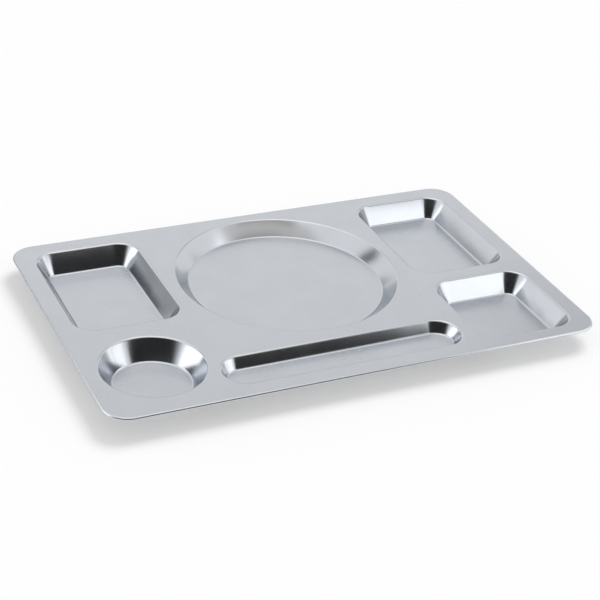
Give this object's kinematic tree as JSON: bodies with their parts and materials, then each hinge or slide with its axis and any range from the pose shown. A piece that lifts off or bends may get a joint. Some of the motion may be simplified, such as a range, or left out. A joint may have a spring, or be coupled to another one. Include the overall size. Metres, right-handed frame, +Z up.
{
  "type": "divided compartment plate",
  "caption": "Pressed steel cafeteria tray with round, rectangular and long drawn wells and a turned-down edge.",
  "frame": {"origin": "under the middle of the tray, on the surface that the deepest wells stand on", "axes": "+X along the length to the user's right, with the cup well at the user's front left; +Y across the width away from the user; +Z up out of the wells"},
  "size_m": [0.53, 0.335, 0.0218],
  "materials": {
    "satin_steel": "satin on the deck and floors, polished by the draw on the walls"
  },
  "bodies": {
    "root": {"deck": "satin_steel", "turned_edge": "satin_steel", "plate_well": "satin_steel", "cup_well": "satin_steel", "cutlery_well": "satin_steel", "left_well": "satin_steel", "rear_right_well": "satin_steel", "front_right_well": "satin_steel"}
  },
  "joints": []
}
